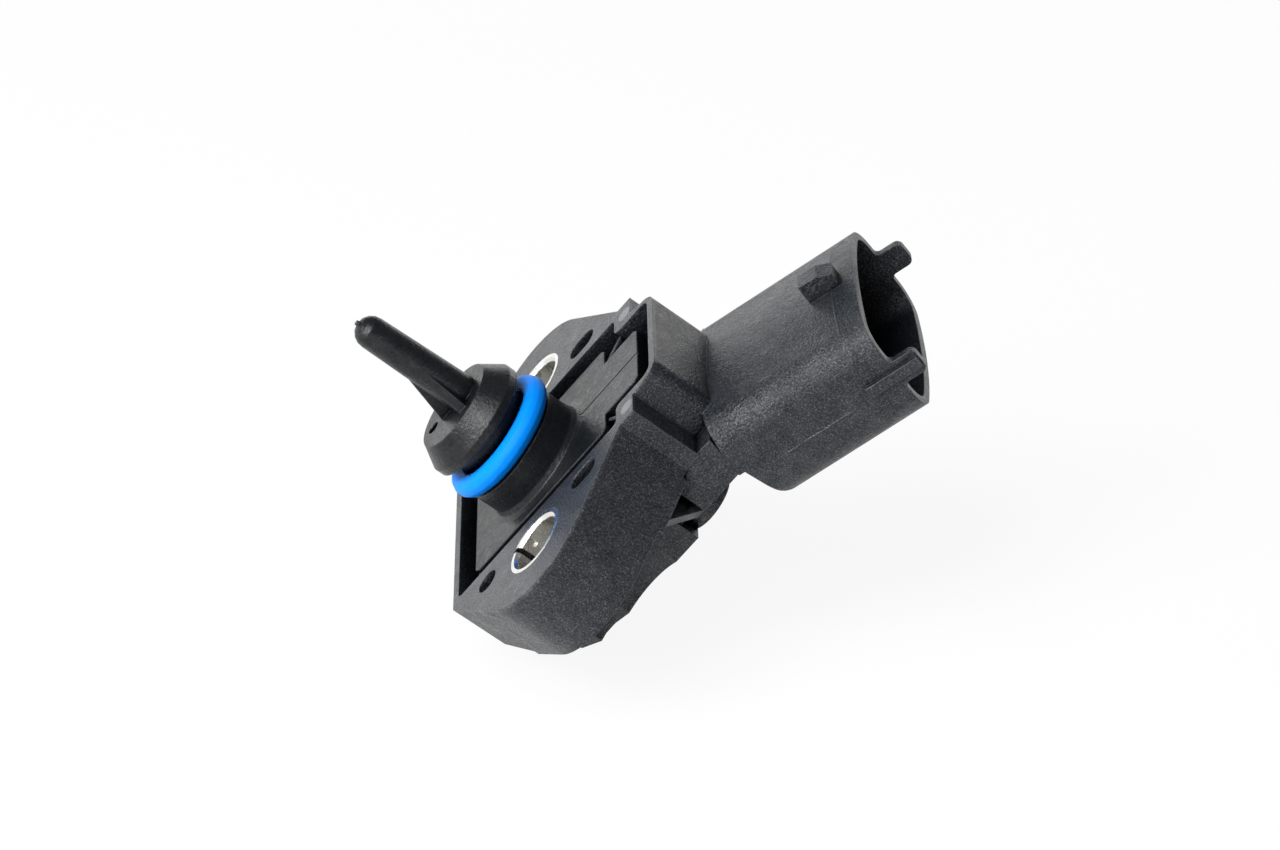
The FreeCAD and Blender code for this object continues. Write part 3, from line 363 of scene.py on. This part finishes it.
def shroud_finish(tree, across, along, height, up):
    """Lean and gloss of the shroud's face, and a mask of its socket for deeper painted shade."""
    face = product(tree, below(tree, height, FACE_EDGE_MM), above(tree, along, NECK_END_MM),
                   above(tree, height, LATCH_FOOT_MM))
    lean = product(tree, across, CROWN, face)
    end = spread(tree, along, 1.0, END_GLOSS, PARTING_RING_MM - END_SOFT_MM, PARTING_RING_MM)
    port_face = near(tree, up, 0.0, PORT_FACE_BAND_MM)
    sheen = mix_values(tree, face, spread(tree, port_face, 1.0, PORT_FACE_GLOSS, 0.0, 1.0), end)
    inside = product(tree, below(tree, product(tree, across, across), INNER_SIDE_SQUARE),
                     below(tree, product(tree, height, height), INNER_FACE_SQUARE),
                     above(tree, along, SOCKET_FLOOR_MM))
    return lean, sheen, inside


def moulded_plastic(
    name, dark, light, grain, grain_depth, rough, streaks, edge=0.15, fibre=1.0, shine=SPECULAR,
    marks=False,
):
    """Glass-filled plastic: mottled and grained, with pale fibres and streaks, arrises paler by
    wear and painted highlight, and painted shade in hollows and creases.
    """
    material, tree, shader = new_material(name)
    where = place_texture(tree)
    fine = noise(tree, where, grain, 3.0, 0.6)
    broad = noise(tree, where, 0.16, 3.0, 0.6)
    fibres = noise(tree, where, grain * 1.7, 2.0, 0.6)
    flow = noise(tree, place_texture(tree, streaks), 1.0, 5.0, 0.75)
    normal, arris = soft_edges(tree, edge)
    wear_and_highlight_noise = noise(tree, where, 1.2, 4.0, 0.65)
    patches = noise(tree, where, 0.45, 4.0, 0.7)

    pale = scale_colour(light, FIBRE_PALE)
    glint = spread(tree, fibres, 0.0, fibre, 0.5, 0.74)
    body = blend_colours(tree, spread(tree, fine, 0.0, 1.0, 0.42, 0.66), dark, light)
    body = blend_colours(tree, spread(tree, flow, 0.0, 0.6, 0.52, 0.7), body, light)
    body = blend_colours(tree, spread(tree, broad, 0.0, 0.35), body, dark)
    body = blend_colours(tree, glint, body, pale)
    # Arrises paler partly by wear and partly as a painted highlight
    worn_and_highlit = product(tree, arris, spread(tree, wear_and_highlight_noise, 0.1, 0.9))
    body = blend_colours(tree, worn_and_highlit, body, scale_colour(light, ARRIS_PALE))
    relief = calculate(tree, "ADD", fine, product(tree, flow, 0.75))

    # Hollows and creases get painted shade: their colour is darkened and their gloss lowered by how
    # closed they are
    depth = openness(tree, HOLLOW_MM)
    hollow = above(tree, depth, HOLLOW_RANGE)
    crease = spread(tree, openness(tree, CREASE_MM), CREASE_LEFT, 1.0, *CREASE_RANGE)
    free_of_painted_shade = product(tree, hollow, crease)
    level = spread(tree, glint, shine, 2.0 * shine, 0.0, 1.0)
    if marks:
        across, along, height = split(tree, turn_to_shroud(tree, where))
        side, out, up = split(tree, where)
        line = parting_lines(tree, where, across, along, height)
        pin = ejector_marks(tree, side, out, up)
        lean, sheen, inside = shroud_finish(tree, across, along, height, up)
        normal = lean_across(tree, normal, lean)
        body = blend_colours(tree, product(tree, line, LINE_PALENESS), body, pale)
        body = blend_colours(tree, product(tree, pin, EJECTOR_PALENESS), body, EJECTOR_COLOUR)
        relief = calculate(tree, "ADD", relief, product(tree, line, LINE_RELIEF))
        # Painted shade is deeper in the shroud's socket
        inside = product(tree, inside, below(tree, depth, SOCKET_OPENNESS))
        free_of_painted_shade = product(tree, free_of_painted_shade, spread(tree, inside, 1.0, SOCKET_LEFT, 0.0, 1.0))
        level = product(tree, level, sheen)

    # Painted shade: the base colour goes towards a near-black where hollows and creases are closed
    body = blend_colours(tree, free_of_painted_shade, PAINTED_SHADE_COLOUR, body)
    tree.links.new(body, shader.inputs["Base Color"])
    level = product(tree, free_of_painted_shade, level, spread(tree, patches, *GLOSS_PATCHES))
    level = mix_values(tree, product(tree, arris, free_of_painted_shade), level, ARRIS_SPECULAR)
    level = calculate(tree, "MAXIMUM", level, HOLLOW_SPECULAR)
    tree.links.new(level, shader.inputs["Specular IOR Level"])
    gloss = calculate(tree, "SUBTRACT", spread(tree, fine, rough[1], rough[0]),
                      spread(tree, flow, 0.0, 0.15, 0.5, 0.72))
    tree.links.new(gloss, shader.inputs["Roughness"])
    tree.links.new(bump(tree, relief, normal, grain_depth), shader.inputs["Normal"])
    return material


def plain_material(
    name, colour, rough, metallic=0.0, grain=2.0, depth=0.004, variation=0.12, edge=0.08, gloss=0.5,
):
    """Material of a small piece: slightly varied colour and gloss, fine relief, soft arrises."""
    material, tree, shader = new_material(name)
    cloud = noise(tree, place_texture(tree), grain, 4.0, 0.6)
    normal, arris = soft_edges(tree, edge)
    darker = scale_colour(colour, 1.0 - variation)
    paler = scale_colour(colour, 1.0 + variation)
    body = blend_colours(tree, spread(tree, cloud, 0.0, 1.0), darker, paler)
    body = blend_colours(tree, arris, body, scale_colour(colour, 1.25, 0.02))
    tree.links.new(body, shader.inputs["Base Color"])
    shader.inputs["Metallic"].default_value = metallic
    shader.inputs["Specular IOR Level"].default_value = gloss
    tree.links.new(spread(tree, cloud, *rough), shader.inputs["Roughness"])
    tree.links.new(bump(tree, cloud, normal, depth), shader.inputs["Normal"])
    return material


def dress(material, *names):
    """Give the named nodes the material."""
    for name in names:
        mesh = nodes[name].data
        mesh.materials.clear()
        mesh.materials.append(material)


def build_materials():
    """Finish of every node."""
    dress(moulded_plastic(
        "housing_plastic", (0.003, 0.004, 0.0055), (0.02, 0.024, 0.03), 3.2, 0.17, (0.28, 0.46),
        (0.5, 0.22, 0.5), edge=0.2, marks=True,
    ), "housing")
    dress(moulded_plastic(
        "cover_plastic", (0.003, 0.004, 0.0055), (0.019, 0.023, 0.029), 3.2, 0.17, (0.28, 0.46),
        (0.5, 0.22, 0.5),
    ), "rear_cover")
    dress(moulded_plastic(
        "insert_plastic", (0.004, 0.005, 0.0062), (0.01, 0.0126, 0.0152), 2.6, 0.06, (0.27, 0.42),
        (0.7, 0.7, 0.14), edge=0.3, fibre=0.15, shine=0.32,
    ), "port_insert")
    dress(plain_material(
        "blue_elastomer", (0.001, 0.255, 0.97), (0.4, 0.5), grain=1.2, variation=0.04, edge=0.55,
        gloss=0.09,
    ), "o_ring")
    dress(plain_material(
        "plated_steel", (0.78, 0.77, 0.74), (0.22, 0.32), metallic=1.0, grain=0.8, depth=0.0015,
        variation=0.06,
    ), "bushing_left", "bushing_right")
    dress(plain_material("silicone_glue", (0.06, 0.06, 0.065), (0.4, 0.55)),
          "insert_seal", "cover_seal")
    dress(plain_material("glass_bead", (0.1, 0.19, 0.14), (0.12, 0.25)), "thermistor_bead")
    dress(plain_material("lead_wire", (0.7, 0.68, 0.64), (0.25, 0.4), metallic=1.0, edge=0.02),
          "thermistor_lead_left", "thermistor_lead_right")
    dress(plain_material("fired_ceramic", (0.82, 0.81, 0.77), (0.35, 0.5)), "cell_base")
    dress(plain_material("drawn_steel", (0.66, 0.66, 0.67), (0.25, 0.4), metallic=1.0), "cell_ring")
    dress(plain_material("ground_glass", (0.72, 0.78, 0.76), (0.2, 0.35)), "glass_pedestal")
    dress(plain_material("silicon_face", (0.14, 0.15, 0.19), (0.12, 0.2), metallic=0.6),
          "silicon_chip")
    dress(plain_material("clear_gel", (0.72, 0.74, 0.72), (0.1, 0.2)), "gel_fill")
    dress(plain_material("solder_mask", (0.03, 0.2, 0.07), (0.25, 0.4)), "circuit_board")
    dress(plain_material("chip_package", (0.025, 0.025, 0.026), (0.4, 0.55)), "signal_chip")
    dress(plain_material("capacitor_body", (0.5, 0.36, 0.22), (0.35, 0.5)),
          "capacitor_1", "capacitor_2", "capacitor_3")
    dress(plain_material("tinned_brass", (0.74, 0.71, 0.62), (0.22, 0.35), metallic=1.0, edge=0.05),
          "terminal_1", "terminal_2", "terminal_3", "terminal_4")


def ray_kind(tree, *names):
    """One for a light path of any of the named kinds."""
    path = tree.nodes.new("ShaderNodeLightPath")
    total = path.outputs[names[0]]
    for name in names[1:]:
        total = calculate(tree, "MAXIMUM", total, path.outputs[name])
    return total


def share_along(tree, view, direction):
    """How far a direction of view runs along another, from minus one to one."""
    step = tree.nodes.new("ShaderNodeVectorMath")
    step.operation = "DOT_PRODUCT"
    step.inputs[1].default_value = direction
    tree.links.new(view, step.inputs[0])
    return step.outputs["Value"]


def build_world():
    """White surroundings, darker above and towards the lens, that light the part softly."""
    world = bpy.data.worlds.new("studio")
    bpy.context.scene.world = world
    world.use_nodes = True
    tree = world.node_tree
    tree.nodes.clear()
    output = tree.nodes.new("ShaderNodeOutputWorld")
    background = tree.nodes.new("ShaderNodeBackground")
    background.inputs["Color"].default_value = (*WHITE, 1.0)
    view = tree.nodes.new("ShaderNodeTexCoord").outputs["Generated"]
    front = spread(tree, share_along(tree, view, FRONT), 1.0, FRONT_SHADE, *BACK_TO_FRONT)
    height = spread(tree, share_along(tree, view, UP), HORIZON, CEILING, *HORIZON_TO_CEILING)
    room = product(tree, front, height)
    dim = product(tree, room, WORLD_FILL)
    seen = mix_values(tree, ray_kind(tree, "Is Glossy Ray"), dim, room)
    plain = ray_kind(tree, "Is Camera Ray", "Is Transmission Ray")
    tree.links.new(mix_values(tree, plain, seen, 1.0), background.inputs["Strength"])
    tree.links.new(background.outputs["Background"], output.inputs["Surface"])


def mix_shaders(tree, factor, first, second):
    """Shader between two shaders by a factor."""
    mix = tree.nodes.new("ShaderNodeMixShader")
    for value, socket in zip((factor, first, second), mix.inputs):
        tree.links.new(value, socket)
    return mix.outputs["Shader"]


def table_material():
    """White table top with a faint shadow; from below it lets the view through."""
    material, tree, shader = new_material("table_top")
    shader.inputs["Base Color"].default_value = (*WHITE, 1.0)
    shader.inputs["Roughness"].default_value = TABLE_ROUGHNESS
    surface = shader.outputs["BSDF"].links[0].to_socket
    glow = tree.nodes.new("ShaderNodeEmission").outputs["Emission"]
    clear = tree.nodes.new("ShaderNodeBsdfTransparent").outputs["BSDF"]
    underside = tree.nodes.new("ShaderNodeNewGeometry").outputs["Backfacing"]
    seen = ray_kind(tree, "Is Camera Ray", "Is Glossy Ray", "Is Transmission Ray")
    lit = mix_shaders(tree, product(tree, seen, TABLE_GLOW), shader.outputs["BSDF"], glow)
    tree.links.new(mix_shaders(tree, underside, lit, clear), surface)
    return material


def build_table():
    """Table at the height of the part's lowest point."""
    lowest = min(UP.dot(vertex.co) for node in nodes.values() for vertex in node.data.vertices)
    half = TABLE_SIDE_MM * MM / 2
    corners = [
        studio(right, lowest, front)
        for right, front in ((-half, -half), (half, -half), (half, half), (-half, half))
    ]
    mesh = bpy.data.meshes.new("table")
    mesh.from_pydata(corners, [], [(0, 1, 2, 3)])
    table = bpy.data.objects.new("table", mesh)
    bpy.context.scene.collection.objects.link(table)
    if mesh.polygons[0].normal.dot(UP) < 0:
        mesh.flip_normals()
    mesh.materials.append(table_material())


def soft_lamp(name, place, watts, size):
    """Square area lamp at a studio point, turned to the part."""
    data = bpy.data.lights.new(name, "AREA")
    data.shape = "SQUARE"
    data.size = size
    data.energy = watts
    lamp = bpy.data.objects.new(name, data)
    lamp.location = place
    middle = (cad_box[0] + cad_box[1]) / 2
    lamp.rotation_euler = (middle - place).to_track_quat("-Z", "Y").to_euler()
    bpy.context.scene.collection.objects.link(lamp)


build_materials()
build_world()
build_table()
for name, (place, watts, size) in LAMPS.items():
    soft_lamp(name, studio(*place), watts, size)

bpy.context.scene.view_settings.view_transform = "Standard"
